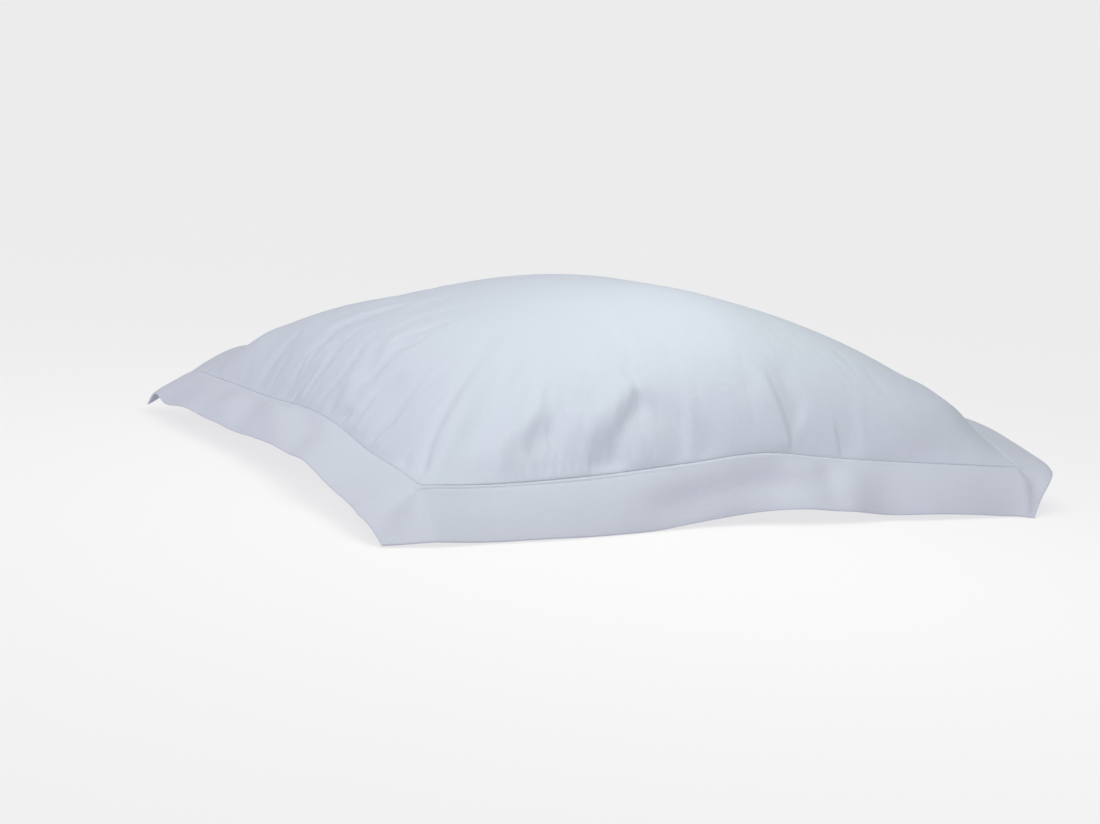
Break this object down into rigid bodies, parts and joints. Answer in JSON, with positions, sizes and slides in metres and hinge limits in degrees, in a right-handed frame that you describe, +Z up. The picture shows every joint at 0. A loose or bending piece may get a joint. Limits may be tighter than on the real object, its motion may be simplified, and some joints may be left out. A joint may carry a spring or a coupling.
{
  "type": "oxford pillowcase",
  "caption": "Plain white cotton pillowcase with its pillow inside, crowned and drawn in at the sides, with a flat stitched border that droops in soft waves.",
  "frame": {"origin": "middle of the stitched seam's rectangle, on the surface that the case lies on", "axes": "+X along the long sides, +Y from the near long side to the far one, +Z up"},
  "size_m": [0.7506, 0.6033, 0.1866],
  "materials": {
    "cotton_body": "plain white cotton percale, matt with a faint soft sheen",
    "cotton_border": "the same plain white cotton percale, two layers, matt"
  },
  "bodies": {
    "root": {"filled_case": "cotton_body", "border": "cotton_border"}
  },
  "joints": []
}
